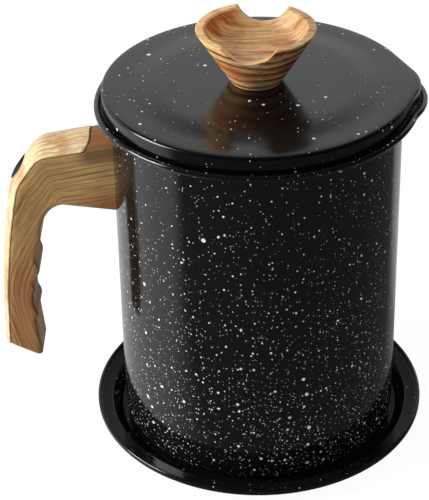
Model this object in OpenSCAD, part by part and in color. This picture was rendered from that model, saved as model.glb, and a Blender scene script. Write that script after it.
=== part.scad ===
// Bacon grease container: an enamelled steel pot with a pouring beak and a
// moulded handle, a strainer cup in its mouth, a lid with a petal knob and a
// shallow tray that the pot stands in.
// +Z is up, +X points to the beak, the handle is on -X, and the origin is the
// middle of the tray's flat underside.

/* [Pot] */
// Outer radius of the pot wall near its bottom
pot_r = 55.8; // [48:0.2:62]
// How much narrower the wall is at the mouth than at the bottom
pot_taper = 0.6; // [0:0.1:1.2]
// Height of the pot from its bottom to the top of the seat in its mouth
pot_h = 142; // [125:0.2:160]
// Thickness of the enamelled steel sheet
sheet_t = 1.2; // [0.8:0.1:1.6]
// Radius of the corner between wall and bottom
pot_corner_r = 6; // [4:0.5:9]
// Radius of the rolled bead round the mouth
bead_r = 1.2; // [1:0.1:1.6]
// How far the bead's outside stands out from the wall at the mouth
bead_reach = 6.2; // [5.8:0.1:8]
// How far the beak's tip stands out from the bead
beak_reach = 3; // [2:0.25:4]
// Outer radius of the beak's curve in plan
beak_r = 30; // [26:1:34]

/* [Tray] */
// Outer radius of the tray
tray_r = 67.6; // [64:0.2:76]
// Height of the tray's flange above the table
tray_h = 6; // [5:0.5:8]
// Thickness of the tray's sheet
tray_t = 1.4; // [1:0.1:1.8]
// Width of the tray's flat flange, with its lip
tray_flange_w = 6.2; // [4.5:0.1:6.6]
// Height of the lip above the flange
tray_lip_h = 1.4; // [0.8:0.1:2]
// Gap between the pot's wall and the foot of the tray's recess
tray_gap = 2.4; // [1:0.1:2.8]

/* [Lid] */
// Height of the lid from the seat to its flat top
lid_h = 7; // [6:0.2:12]
// Thickness of the lid's sheet
lid_t = 1.1; // [0.8:0.1:1.5]
// Gap between the lid's skirt and the bead
lid_gap = 0.6; // [0.5:0.1:1]
// Radius of the rounded edge of the lid
lid_edge_r = 1.3; // [0.8:0.1:2]
// Height of the raised middle of the lid
lid_rise = 0.7; // [0.3:0.1:1.5]
// Radius of the raised middle
lid_rise_r = 43; // [34:1:46]
// Radius of the lid's beak in plan
lid_beak_r = 20; // [16:1:24]

/* [Knob] */
// Height of the knob
knob_h = 21.5; // [19:0.5:26]
// Radius of the knob's top
knob_top_r = 22.6; // [20:0.2:25]
// Radius of the knob's foot
knob_foot_r = 9.9; // [8.5:0.1:11]
// Width of the knob's rim
knob_rim_w = 3.6; // [2.8:0.2:4.4]
// Depth of the dish in the knob's top
knob_dish_h = 7.6; // [6:0.2:8.6]
// Depth of the two scoops between the petals
knob_scoop_h = 5.8; // [4:0.2:6.2]
// Radius of the scoops
knob_scoop_r = 11; // [9:0.5:13]
// Turn of the knob on the lid, in degrees
knob_turn = -9; // [-90:1:90]
// Radius of the knob screw's shank
knob_screw_r = 2; // [1.8:0.1:2.5]
// Length of the threaded insert in the knob's foot
insert_h = 8; // [6:0.5:10]
// Wall of the threaded insert
insert_wall = 1.4; // [1:0.1:1.8]

/* [Handle] */
// Width of the handle
grip_w = 19.5; // [17:0.5:22]
// Height of the screw's axis below the seat in the pot's mouth
grip_drop = 27.6; // [25:0.2:31]
// Height of the arm where it meets the pot
arm_h = 28.2; // [26:0.2:30]
// Distance from the pot's wall to the bend of the handle's top
arm_reach = 28.2; // [27:0.2:34]
// Distance of the bend's slope outward
bend_w = 8.8; // [7:0.2:10]
// Height of the bend's slope
bend_h = 12.5; // [11:0.5:14]
// Height of the grip from the bend's foot down to its outer end
grip_h = 72.4; // [64:0.2:78]
// Thickness of the grip at its lower end
grip_t = 12.2; // [11:0.2:14]
// Radius of the long curve of the grip's back
grip_bow_r = 360; // [280:10:600]
// Height of the crown of the handle's cover
crown_h = 2.6; // [1.6:0.1:3.2]
// How much higher the crown is at the cover's round end
crown_swell = 1.2; // [0:0.1:1.6]
// Height of the cover's straight edge
cover_edge_h = 0.8; // [0.5:0.1:1.2]
// How far the cover stands above the arm at its round end
cover_step = 1.2; // [0.4:0.1:1.6]
// Length of the cover on the arm, from the bend to its round end
tongue_len = 20.4; // [16:0.2:22]
// Radius of the handle's rounded inner edges
grip_round_r = 2; // [1.5:0.5:4]
// Radius of the handle screw's shank
grip_screw_r = 2.5; // [2:0.1:3]
// Radius of the sunk hole for the screw's head
sunk_r = 4.6; // [4.4:0.1:5.2]
// Depth of the sunk hole's floor, from the pot's wall
sunk_floor = 21; // [18:0.5:23]

/* [Strainer] */
// Depth of the strainer cup
cup_h = 20; // [14:0.5:30]
// Thickness of the strainer's sheet
cup_t = 0.6; // [0.5:0.1:1]
// Gap between the strainer cup and the pot's wall
cup_gap = 0.8; // [0.5:0.1:1.2]
// How much narrower the cup is at its bottom
cup_taper = 2; // [1:0.25:3]
// Width of the ledge that carries the mesh
cup_ledge_w = 4; // [3:0.5:6]
// Height of the pressed ring that holds the mesh
ring_h = 3; // [2:0.5:4]
// Thickness of the woven mesh
mesh_t = 0.4; // [0.3:0.1:0.6]

/* [Hidden] */

fine = 96;        // facets of a full turn of a large round
small = 40;       // facets of a full turn of a small round
eps = 0.01;       // overlap of solids that are joined
far = 200;        // longer than any piece

// Heights, from the table up
floor_z = tray_t;                       // top of the tray's floor
seat_z = floor_z + pot_h;               // top of the seat in the pot's mouth
bead_drop = 0.1;                        // middle of the bead below the seat
lid_z = seat_z + lid_h;                 // flat top of the lid near its edge
knob_z = lid_z + lid_rise;              // underside of the knob

// Radii of the mouth
mouth_r = pot_r - pot_taper;            // outside of the wall at the mouth
bead_ring_r = mouth_r + bead_reach - bead_r;
bead_in_r = bead_ring_r - bead_r;
beak_x = bead_ring_r + bead_r + beak_reach - beak_r;
beak_ring_r = beak_r - bead_r;
beak_in_r = beak_ring_r - bead_r;
// Bends under the seat and at its inner edge
out_bend = 0.4;
in_bend = out_bend + sheet_t;
// Half angle of the beak, where its ring meets the round one
beak_a = acos((bead_ring_r ^ 2 + beak_x ^ 2 - beak_ring_r ^ 2)
              / (2 * bead_ring_r * beak_x));
beak_turn = atan2(bead_ring_r * sin(beak_a), bead_ring_r * cos(beak_a) - beak_x);

// Radius of the slightly conical wall's outside at a height above the table
function wall_r(z) = pot_r - pot_taper * (z - floor_z - pot_corner_r)
    / (pot_h - in_bend - pot_corner_r);

// Points along an arc, from angle a to angle b
function arc(x, y, r, a, b, n = 8) =
    [for (i = [0:n]) [x + r * cos(a + (b - a) * i / n),
                      y + r * sin(a + (b - a) * i / n)]];

// The same solid moved from +X, where the handle is drawn, to its own side
module on_handle_side() { mirror([1, 0, 0]) children(); }

// A side view with X outward and Z up, as thick as w across the handle
module side_slab(w) {
    rotate([90, 0, 0]) linear_extrude(w, center = true) children();
}

// ---- Tray ----
recess_r = pot_r + tray_gap;                     // foot of the recess
flange_r = tray_r - tray_flange_w;               // inner edge of the flange
lip_r = tray_t / 2;                              // radius of the lip's round

module coaster_tray() {
    lip_top = tray_h + tray_lip_h;
    flange_z = tray_h - tray_t;
    color("#17181a") rotate_extrude($fn = fine) polygon(concat(
        [[0, 0], [recess_r + tray_t / 2, 0], [flange_r + tray_t, flange_z]],
        arc(tray_r - 2 * lip_r, flange_z + 2 * lip_r, 2 * lip_r, -90, 0),
        arc(tray_r - lip_r, lip_top - lip_r, lip_r, 0, 180),
        [[tray_r - tray_t, tray_h + lip_r / 2]],
        [[tray_r - tray_t - lip_r / 2, tray_h], [flange_r, tray_h]],
        [[recess_r - tray_t / 2, floor_z], [0, floor_z]]
    ));
}

// ---- Pot ----
// Outside and inside of the wall, the bottom's corner and the flat seat
module pot_wall() {
    in_corner = pot_corner_r - sheet_t;
    rotate_extrude($fn = fine) polygon(concat(
        [[0, 0]],
        arc(pot_r - pot_corner_r, pot_corner_r, pot_corner_r, -90, 0),
        arc(mouth_r + out_bend, pot_h - in_bend, out_bend, 180, 90, 4),
        [[bead_ring_r, pot_h - sheet_t], [bead_ring_r, pot_h]],
        arc(mouth_r + out_bend, pot_h - in_bend, in_bend, 90, 180, 4),
        arc(pot_r - pot_corner_r, pot_corner_r, in_corner, 0, -90),
        [[0, sheet_t]]
    ));
}

// Part of a ring of bead, between two angles
module bead_arc(ring_r, from, to) {
    rotate(from) rotate_extrude(angle = to - from, $fn = fine)
        translate([ring_r, 0]) circle(bead_r, $fn = small);
}

// The round bead and the beak's bead, which run into each other
module pot_bead() {
    lap = 0.7;                                   // in degrees
    bead_arc(bead_ring_r, beak_a - lap, 360 - beak_a + lap);
    translate([beak_x, 0]) bead_arc(beak_ring_r, -beak_turn - 2 * lap, beak_turn + 2 * lap);
}

// The flat floor of the beak, level with the seat
module beak_floor() {
    difference() {
        translate([beak_x, 0]) cylinder(sheet_t, r = beak_ring_r, $fn = fine);
        translate([0, 0, -1]) cylinder(sheet_t + 2, r = mouth_r - sheet_t / 2, $fn = fine);
    }
}

module pot_body() {
    color("#141517") translate([0, 0, floor_z]) union() {
        pot_wall();
        translate([0, 0, pot_h - sheet_t]) beak_floor();
        translate([0, 0, pot_h - bead_drop]) pot_bead();
    }
}

// ---- Handle ----
// Side view, X away from the pot's axis and Z up. The outer line runs along
// the seam of the cover: the arm's top, the bend's slope and the grip's back.
screw_z = seat_z - grip_drop;                    // height of the screw's axis
wall_gap = 0.05;                                 // arm's end to the pot's wall
arm_share = 0.444;                               // part of the arm above the screw's axis
arm_top = [mouth_r, screw_z + arm_share * arm_h];        // the arm's top at the pot
arm_foot = [mouth_r, screw_z - (1 - arm_share) * arm_h]; // its underside at the pot
top_fall = 9.4;                                  // slope of the arm's top, in degrees
foot_rise = 8;                                   // slope of its underside
bend_top = arm_top + arm_reach * [1, -tan(top_fall)];
bend_foot = bend_top + [bend_w, -bend_h];
grip_lean = 6.7;                                  // lean of the grip's chord
grip_end = bend_foot + grip_h * [tan(grip_lean), -1];

// The grip's back is an arc through the bend's foot and the grip's end
back_chord = norm(grip_end - bend_foot);
back_half = asin(back_chord / 2 / grip_bow_r);
back_mid = (bend_foot + grip_end) / 2;
back_dir = (grip_end - bend_foot) / back_chord;
back_centre = back_mid
    + sqrt(grip_bow_r ^ 2 - back_chord ^ 2 / 4) * [back_dir.y, -back_dir.x];
function back(u) =
    let (a = atan2(bend_foot.y - back_centre.y, bend_foot.x - back_centre.x))
    back_centre + grip_bow_r * [cos(a - 2 * back_half * u), sin(a - 2 * back_half * u)];

// The inner line: the arm's underside, a quarter oval and the finger side
oval = [10.2, 16.2];                             // half axes of the inner bend
oval_lead = 8.3;                                 // the inner bend starts so much sooner
inner_top = arm_foot + (arm_reach - oval_lead) * [1, tan(foot_rise)];
oval_centre = inner_top - [0, oval.y];
inner_bow = 3.2;                                 // hollow of the finger side
bow_skew = 0.8;                                  // below 1, the hollow is deepest high up
end_rise = 6.4;                                  // slant of the grip's lower end
inner_end = grip_end - [grip_t, end_rise];
// Finger ridges: their places and half widths as shares of the finger side,
// and how far they reach out of it
ridge_at = [0.265, 0.424, 0.636];
ridge_half = [0.12, 0.05, 0.077];
ridge_reach = [2.2, 0.8, 1.2];
function ridge(u, k) =
    abs(u - ridge_at[k]) > ridge_half[k] ? 0
    : ridge_reach[k] * (1 + cos(180 * (u - ridge_at[k]) / ridge_half[k])) / 2;
finger_top = oval_centre + [oval.x, 0];
function finger(u) =
    finger_top + (inner_end - finger_top) * u
    + [inner_bow * sin(180 * u ^ bow_skew), 0]
    - [ridge(u, 0) + ridge(u, 1) + ridge(u, 2), 0];
function inner_oval(a) = oval_centre + [oval.x * sin(a), oval.y * cos(a)];

// Directions out of the cover: across its line, and along the mitres where
// the line bends, as long as a unit of height needs there
function across(from, to) = [from.y - to.y, to.x - from.x] / norm(to - from);
function mitre(a, b) = (a + b) / (1 + a * b);
top_out = across(arm_top, bend_top);
slope_out = across(bend_top, bend_foot);
function back_out(u) = (back(u) - back_centre) / grip_bow_r;
top_mitre = mitre(top_out, slope_out);
foot_mitre = mitre(slope_out, back_out(0));

// Stations [outer point, inner point, way out, height of the crown] from the
// pot to the grip's lower end
bend_steps = 5;
oval_steps = 5;
finger_steps = 34;
oval_back = 0.2;                                 // share of the back beside the oval
bend_turn = 40;                                  // part of the oval inside the bend
arm_lead = 8;                                    // what the pot's round cuts away
low_crown = 0.85 * crown_h;                      // crown on the bend and the grip's end
stations = concat(
    [[arm_top - arm_lead * [1, -tan(top_fall)], arm_foot - arm_lead * [1, tan(foot_rise)],
      top_out, crown_h + 1.5 * crown_swell]],
    [for (i = [0:bend_steps])
        [bend_top + (bend_foot - bend_top) * i / bend_steps,
         inner_oval(bend_turn * i / bend_steps),
         top_mitre + (foot_mitre - top_mitre) * i / bend_steps,
         low_crown + (crown_h - low_crown) * i / bend_steps]],
    [for (i = [1:oval_steps])
        [back(oval_back * i / oval_steps),
         inner_oval(bend_turn + (90 - bend_turn) * i / oval_steps),
         back_out(oval_back * i / oval_steps), crown_h]],
    [for (i = [1:finger_steps]) let (u = oval_back + (1 - oval_back) * i / finger_steps)
        [back(u), finger(i / finger_steps), back_out(u),
         crown_h + (low_crown - crown_h) * i / finger_steps]]
);

// One section of the handle at a station. The crown stands on the outer point;
// without its cover the arm has a low crown of its own. An inset pulls the
// section in where the lower end is rounded.
crown_steps = 8;
round_steps = 5;
function section(station, covered, inset = 0) =
    let (
        out = station[0],
        long = norm(station[1] - out),
        dir = (station[1] - out) / long,
        edge = covered ? cover_edge_h : 0,
        high = covered ? station[3] : max(0.2, station[3] + cover_edge_h - cover_step - 1),
        half = grip_w / 2 - inset,
        r = grip_round_r,
        crown = [for (i = [0:crown_steps])
            let (t = 1 - 2 * i / crown_steps,
                 p = out + station[2] * (edge + high * (1 - t ^ 2) - inset))
            [p.x, half * t, p.y]],
        // the two rounded inner edges, across the handle and along the section
        near = [for (i = [0:round_steps]) let (a = 90 * i / round_steps)
            [-half + r - r * cos(a), long - inset - r + r * sin(a)]],
        other = [for (i = [0:round_steps]) let (a = 90 - 90 * i / round_steps)
            [half - r + r * cos(a), long - inset - r + r * sin(a)]]
    )
    concat(crown, [for (p = concat(near, other))
        [out.x + dir.x * p[1], p[0], out.y + dir.y * p[1]]]);

// A closed solid through rings of equally many points
module loft(rings) {
    n = len(rings[0]);
    m = len(rings);
    points = [for (ring = rings) each ring];
    sides = [for (k = [0:m - 2]) for (i = [0:n - 1])
        let (a = k * n + i, b = k * n + (i + 1) % n)
        each [[a, a + n, b], [b, a + n, b + n]]];
    first = [for (i = [0:n - 1]) i];
    last = [for (i = [n - 1:-1:0]) (m - 1) * n + i];
    polyhedron(points, concat([first, last], sides));
}

end_round = 0.9;                                 // rounding of the grip's lower end
module handle_form(covered) {
    end = stations[len(stations) - 1];
    down = -across(end[1], end[0]);
    // the last section again, moved down and pulled in
    function lower(by) = [end[0] + down * by, end[1] + down * by, end[2], end[3]];
    loft(concat(
        [for (s = stations) section(s, covered)],
        [section(lower(end_round * 0.7), covered, end_round * 0.3)],
        [section(lower(end_round), covered, end_round)]
    ));
}

// The space of the cover: above its seat, with a round tongue near the pot
tongue_x = bend_top.x - tongue_len;                   // the tongue's end
tongue_r = 7;                                    // its round corners
module cover_space() {
    wide = grip_w / 2 + 1;
    seat = [for (i = [0:24]) back(i / 24)];
    intersection() {
        side_slab(grip_w + 4) polygon(concat(
            [[tongue_x - 1, arm_top.y - (tongue_x - 1 - arm_top.x) * tan(top_fall)]],
            [bend_top], seat,
            [grip_end + 20 * [sin(grip_lean), -cos(grip_lean)]],
            [[far, grip_end.y - 20], [far, far]],
            [[tongue_x - 1, far]]
        ));
        linear_extrude(far) union() {
            translate([tongue_x + tongue_r, -wide]) square([far, 2 * wide]);
            translate([tongue_x, tongue_r - wide]) square([far, 2 * (wide - tongue_r)]);
            for (side = [-1, 1])
                translate([tongue_x + tongue_r, side * (wide - tongue_r)])
                    circle(tongue_r, $fn = small);
        }
    }
}

// Screw line of the handle: a cylinder along X at the screw's height
module along_screw(from, to, r) {
    translate([from, 0, screw_z]) rotate([0, 90, 0])
        cylinder(to - from, r = r, $fn = small);
}

// Bracket and its room in the arm's end
boss_r = grip_screw_r + 3;                       // the bracket's threaded boss
boss_reach = 9;                                  // from the pot's wall
boss_floor = 0.6;                                // left under the threaded hole
thread_gap = 0.05;                               // round a screw in its thread
plate_w = 13;                                    // the bracket's plate
plate_h = 20;
plate_t = 1.4;
plate_x = wall_r(screw_z) + plate_t;             // outer face of the plate
weld_gap = 0.02;                                 // plate to the pot's wall
fit_gap = 0.25;                                  // between pieces that slip together
sunk_x = mouth_r + sunk_floor;                   // floor of the sunk hole
washer_t = 1;

// The pot's outside beside the handle, grown by a distance
module wall_space(grow) {
    low_z = screw_z - arm_h;
    high_z = screw_z + arm_h;
    translate([0, 0, low_z])
        cylinder(high_z - low_z, r1 = wall_r(low_z) + grow, r2 = wall_r(high_z) + grow,
                 $fn = fine);
}

// The plate bent round the wall, or the room for it
module bracket_plate(grow) {
    intersection() {
        difference() {
            wall_space(plate_t + grow);
            if (grow == 0) wall_space(weld_gap);
        }
        translate([mouth_r - 10, -plate_w / 2 - grow, screw_z - plate_h / 2 - grow])
            cube([20, plate_w + 2 * grow, plate_h + 2 * grow]);
    }
}

module handle_bracket() {
    color("#8d9094") on_handle_side() difference() {
        union() {
            bracket_plate(0);
            along_screw(plate_x - plate_t / 2, mouth_r + boss_reach, boss_r);
        }
        along_screw(plate_x + boss_floor, mouth_r + boss_reach + 1, grip_screw_r + thread_gap);
    }
}

module handle_grip() {
    color("#9c7446") on_handle_side() difference() {
        handle_form(false);
        cover_space();
        wall_space(wall_gap);
        bracket_plate(fit_gap);
        along_screw(mouth_r - 1, mouth_r + boss_reach + fit_gap, boss_r + fit_gap);
        along_screw(mouth_r, sunk_x + 1, grip_screw_r + fit_gap);
        along_screw(sunk_x, far, sunk_r);
    }
}

module grip_cover() {
    color("#dcc596") on_handle_side() difference() {
        intersection() {
            handle_form(true);
            cover_space();
        }
        along_screw(sunk_x, far, sunk_r);
    }
}

module handle_washer() {
    color("#9a9da1") on_handle_side() difference() {
        along_screw(sunk_x, sunk_x + washer_t, sunk_r - fit_gap);
        along_screw(sunk_x - 1, sunk_x + washer_t + 1, grip_screw_r + fit_gap);
    }
}

module handle_screw() {
    head_x = sunk_x + washer_t;
    head_h = 0.9 * grip_screw_r + 0.8;
    slot_w = 1;
    color("#b4b7ba") on_handle_side() difference() {
        union() {
            along_screw(plate_x + boss_floor + 0.4, head_x + eps, grip_screw_r);
            along_screw(head_x, head_x + head_h, sunk_r - 2 * fit_gap);
        }
        for (size = [[slot_w, 2.4 * grip_screw_r], [2.4 * grip_screw_r, slot_w]])
            translate([head_x + head_h, 0, screw_z])
                cube([head_h, size[0], size[1]], center = true);
    }
}

// ---- Strainer ----
cup_top_r = mouth_r - sheet_t - cup_gap;         // outside of the cup at its top
cup_low_r = cup_top_r - cup_taper;
flange_out_r = bead_in_r - lid_gap - lid_t - 0.7;
cup_z = seat_z + cup_t - cup_h;                  // underside of the cup
ring_gap = 0.2;                                  // ring to the cup's wall
mesh_r = cup_low_r - cup_t - ring_gap;           // outside of the ring at its foot
ring_t = 0.6;

module strainer_cup() {
    color("#c3c6c9") rotate_extrude($fn = fine) polygon([
        [cup_low_r - cup_ledge_w, cup_z], [cup_low_r, cup_z],
        [cup_top_r, seat_z], [flange_out_r, seat_z],
        [flange_out_r, seat_z + cup_t], [cup_top_r - cup_t, seat_z + cup_t],
        [cup_low_r - cup_t, cup_z + cup_t], [cup_low_r - cup_ledge_w, cup_z + cup_t]
    ]);
}

module strainer_mesh() {
    color("#d8dadb") translate([0, 0, cup_z + cup_t])
        cylinder(mesh_t, r = mesh_r - 0.5, $fn = fine);
}

// A channelled ring that is pressed in on top of the mesh
module strainer_ring() {
    ring_z = cup_z + cup_t + mesh_t;
    color("#b9bcbf") rotate_extrude($fn = fine) polygon([
        [cup_low_r - cup_ledge_w, ring_z], [mesh_r, ring_z],
        [mesh_r + ring_gap, ring_z + ring_h], [mesh_r + ring_gap - ring_t, ring_z + ring_h],
        [mesh_r - ring_t, ring_z + ring_t], [cup_low_r - cup_ledge_w, ring_z + ring_t]
    ]);
}

// ---- Lid ----
lid_r = bead_in_r - lid_gap;                     // outside of the skirt
lid_tip = beak_x + beak_in_r - lid_gap * 0.6;    // the skirt at the beak's tip
lid_beak_x = lid_tip - lid_beak_r;
lid_tangent = acos((lid_r - lid_beak_r) / lid_beak_x);
beak_points = 10;                                // steps round the lid's beak
ring_points = 86;                                // steps round the rest

// The lid's outline, inset by a distance: a small round and a large one with
// straight stretches between them
function lid_outline(inset) = concat(
    [for (i = [0:beak_points])
        let (a = lid_tangent * (2 * i / beak_points - 1))
        [lid_beak_x + (lid_beak_r - inset) * cos(a), (lid_beak_r - inset) * sin(a)]],
    [for (i = [0:ring_points])
        let (a = lid_tangent + (360 - 2 * lid_tangent) * i / ring_points)
        [(lid_r - inset) * cos(a), (lid_r - inset) * sin(a)]]
);
function at_z(outline, z) = [for (p = outline) [p.x, p.y, z]];

// The pressed shape from its skirt's foot to the step of the raised middle
module lid_form(inset, top, edge) {
    loft(concat(
        [at_z(lid_outline(inset), inset > 0 ? seat_z - 1 : seat_z)],
        [for (i = [0:6]) let (a = 15 * i)
            at_z(lid_outline(inset + edge * (1 - cos(a))), top - edge + edge * sin(a))]
    ));
}

module lid() {
    hole_r = knob_screw_r + 0.2;
    step = 2 * lid_rise;                         // width of the middle's slope
    color("#1a1b1d") difference() {
        union() {
            lid_form(0, lid_z, lid_edge_r);
            translate([0, 0, lid_z - eps])
                cylinder(lid_rise + eps, r1 = lid_rise_r + step, r2 = lid_rise_r, $fn = fine);
        }
        lid_form(lid_t, lid_z - lid_t, lid_edge_r / 2);
        translate([0, 0, lid_z - lid_t - 1])
            cylinder(1 + lid_rise, r1 = lid_rise_r + step - 1, r2 = lid_rise_r - 1, $fn = fine);
        translate([0, 0, lid_z - 5]) cylinder(10, r = hole_r, $fn = small);
    }
}

// ---- Knob ----
rim_in_r = knob_top_r - knob_rim_w;              // inside of the rim
dish_z = knob_h - knob_dish_h;                   // lowest part of the dish
insert_r = knob_screw_r + insert_wall;

module knob() {
    soft = 0.8;                                  // rounding of the rim
    foot = 1.2;                                  // rounding of the foot
    color("#a9814f") translate([0, 0, knob_z]) rotate(knob_turn) difference() {
        rotate_extrude($fn = fine) polygon(concat(
            [[0, 0]],
            arc(knob_foot_r - foot, foot, foot, -90, -30, 4),
            [[knob_top_r - soft, knob_h - 2 * soft]],
            arc(knob_top_r - soft, knob_h - soft, soft, 0, 90, 4),
            arc(rim_in_r + soft, knob_h - soft, soft, 90, 180, 4),
            [[rim_in_r - 2.6, dish_z + 1.6], [rim_in_r - 5, dish_z + 0.5]],
            [[rim_in_r - 9, dish_z], [0, dish_z - 0.4]]
        ));
        translate([0, 0, knob_h - knob_scoop_h + knob_scoop_r]) rotate([90, 0, 0])
            cylinder(4 * knob_top_r, r = knob_scoop_r, center = true, $fn = fine);
        translate([0, 0, -1]) cylinder(1 + insert_h + 0.5, r = insert_r, $fn = small);
    }
}

module knob_insert() {
    color("#b89a4e") translate([0, 0, knob_z]) difference() {
        cylinder(insert_h, r = insert_r, $fn = small);
        translate([0, 0, -1]) cylinder(insert_h + 2, r = knob_screw_r + thread_gap, $fn = small);
    }
}

// The inner face of the lid's raised middle, where the washer seats
washer_top = knob_z - lid_t;
knob_washer_t = 0.8;

module knob_washer() {
    color("#9a9da1") translate([0, 0, washer_top - knob_washer_t]) difference() {
        cylinder(knob_washer_t, r = 2.4 * knob_screw_r, $fn = small);
        translate([0, 0, -1]) cylinder(knob_washer_t + 2, r = knob_screw_r + 0.2, $fn = small);
    }
}

module knob_screw() {
    head_h = 1.1 * knob_screw_r;
    slot_w = 0.9;
    color("#b4b7ba") difference() {
        union() {
            translate([0, 0, washer_top - knob_washer_t - head_h])
                cylinder(head_h, r1 = 1.7 * knob_screw_r, r2 = 2 * knob_screw_r, $fn = small);
            translate([0, 0, washer_top - knob_washer_t - eps])
                cylinder(lid_t + knob_washer_t + insert_h - 1, r = knob_screw_r, $fn = small);
        }
        for (turn = [0, 90])
            translate([0, 0, washer_top - knob_washer_t - head_h]) rotate(turn)
                cube([2.4 * knob_screw_r, slot_w, head_h], center = true);
    }
}

coaster_tray();
pot_body();
handle_bracket();
handle_grip();
grip_cover();
handle_screw();
handle_washer();
strainer_cup();
strainer_mesh();
strainer_ring();
lid();
knob();
knob_insert();
knob_screw();
knob_washer();
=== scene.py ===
from math import acos, asin, atan2, ceil, cos, hypot, pi, radians, sin, sqrt, tan

import bpy
from mathutils import Matrix, Vector


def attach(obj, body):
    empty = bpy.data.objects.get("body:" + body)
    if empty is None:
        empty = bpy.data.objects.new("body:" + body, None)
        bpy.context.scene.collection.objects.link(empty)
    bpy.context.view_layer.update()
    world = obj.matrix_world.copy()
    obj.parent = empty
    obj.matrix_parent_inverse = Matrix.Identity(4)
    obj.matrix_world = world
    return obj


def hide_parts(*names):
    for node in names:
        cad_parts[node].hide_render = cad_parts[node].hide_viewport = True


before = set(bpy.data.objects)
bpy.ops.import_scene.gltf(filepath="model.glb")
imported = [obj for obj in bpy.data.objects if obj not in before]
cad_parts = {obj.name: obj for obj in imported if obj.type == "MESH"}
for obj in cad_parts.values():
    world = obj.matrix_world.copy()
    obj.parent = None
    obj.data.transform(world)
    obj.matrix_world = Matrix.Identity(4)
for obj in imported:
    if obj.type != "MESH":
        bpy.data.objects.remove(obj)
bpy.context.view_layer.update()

mm = 0.001
weldGap = 0.01 * mm  # points closer than this become one
print("frame loaded")


def clearSelection():
    bpy.ops.object.select_all(action="DESELECT")


def setMode(mode):
    bpy.ops.object.mode_set(mode=mode)


def selectOnly(piece):
    clearSelection()
    piece.select_set(True)
    bpy.context.view_layer.objects.active = piece


def nameNewest(name):
    piece = bpy.context.object
    piece.name = name
    piece.data.name = name
    return piece


def smoothBelow(piece, angle):
    selectOnly(piece)
    bpy.ops.object.shade_smooth_by_angle(angle=radians(angle))


def closeAndSmooth(piece, angle, fillEnds=False):
    selectOnly(piece)
    setMode("EDIT")
    bpy.ops.mesh.select_all(action="SELECT")
    bpy.ops.mesh.remove_doubles(threshold=weldGap)
    if fillEnds:
        bpy.ops.mesh.fill_holes(sides=0)
        bpy.ops.mesh.select_all(action="SELECT")
    bpy.ops.mesh.normals_make_consistent(inside=False)
    setMode("OBJECT")
    smoothBelow(piece, angle)


# (x, z) points of an arc, angles in degrees
def arcPoints(x, z, radius, start, end, steps):
    turns = [radians(start + (end - start) * i / steps) for i in range(steps + 1)]
    return [(x + radius * cos(a), z + radius * sin(a)) for a in turns]


# an outline from (x, z, rounding) corners
def roundedOutline(corners, arcStep=13):
    points = []
    for i, (x, z, rounding) in enumerate(corners):
        if not rounding:
            points.append((x, z))
            continue
        corner = Vector((x, z))
        back = (Vector(corners[i - 1][:2]) - corner).normalized()
        ahead = (Vector(corners[i + 1][:2]) - corner).normalized()
        halfTurn = acos(max(-1, min(1, back.dot(ahead)))) / 2
        centre = corner + (back + ahead).normalized() * (rounding / sin(halfTurn))
        first = corner + back * (rounding / tan(halfTurn)) - centre
        last = corner + ahead * (rounding / tan(halfTurn)) - centre
        turn = atan2(first.x * last.y - first.y * last.x, first.dot(last))
        steps = max(2, ceil(abs(turn) / radians(arcStep)))
        for k in range(steps + 1):
            a = atan2(first.y, first.x) + turn * k / steps
            points.append((centre.x + rounding * cos(a), centre.y + rounding * sin(a)))
    return points


# a point is pulled out along the outline, then the line is spun about the upright axis
def spinOutline(name, outline, steps):
    clearSelection()
    bpy.ops.mesh.primitive_plane_add(size=mm)
    piece = nameNewest(name)
    setMode("EDIT")
    bpy.ops.mesh.merge(type="CENTER")
    bpy.ops.transform.translate(value=(outline[0][0] * mm, 0, outline[0][1] * mm))
    for (x0, z0), (x1, z1) in zip(outline, outline[1:]):
        bpy.ops.mesh.extrude_region_move(
            TRANSFORM_OT_translate={"value": ((x1 - x0) * mm, 0, (z1 - z0) * mm)})
    bpy.ops.mesh.select_all(action="SELECT")
    bpy.ops.mesh.spin(steps=steps, angle=2 * pi, center=(0, 0, 0), axis=(0, 0, 1))
    setMode("OBJECT")
    return piece


# the points of a spun piece move outwards by the share of their reach that shiftAt gives
def drawOut(piece, shiftAt):
    for v in piece.data.vertices:
        shift = shiftAt(hypot(v.co.x, v.co.y) / mm, atan2(v.co.y, v.co.x), v.co.z / mm)
        v.co.x *= 1 + shift
        v.co.y *= 1 + shift


# a grid wrapped round closed rings of points in mm; each ring has its own texture line
def wrapRings(name, rings, texture=None):
    rows, columns = len(rings), len(rings[0])
    clearSelection()
    bpy.ops.mesh.primitive_grid_add(x_subdivisions=columns, y_subdivisions=rows - 1, size=1)
    piece = nameNewest(name)
    mesh = piece.data
    cells = [(round((v.co.x + 0.5) * columns), round((v.co.y + 0.5) * (rows - 1)))
             for v in mesh.vertices]
    for v, (i, k) in zip(mesh.vertices, cells):
        v.co = Vector(rings[k][i % columns]) * mm
    if texture:
        layer = mesh.uv_layers.active.data
        for loop in mesh.loops:
            i, k = cells[loop.vertex_index]
            layer[loop.index].uv = Vector(texture[k][i]) * mm
    return piece


def take(sizes, *keys):
    return [sizes[key] for key in keys]


# even shares of a whole, up to 1
def shares(count, first=1):
    return [k / count for k in range(first, count + 1)]


def softMax(a, b, soft):
    return (a + b + sqrt((a - b) ** 2 + soft ** 2)) / 2


def softMin(a, b, soft):
    return -softMax(-a, -b, soft)


def blendTo(x, low, high):
    t = max(0.0, min(1.0, (x - low) / (high - low)))
    return t * t * (3 - 2 * t)


def alongLine(points, x):
    for (x0, y0), (x1, y1) in zip(points, points[1:]):
        if min(x0, x1) <= x <= max(x0, x1):
            return y0 if x0 == x1 else y0 + (y1 - y0) * (x - x0) / (x1 - x0)
    return points[-1][1]


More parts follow.
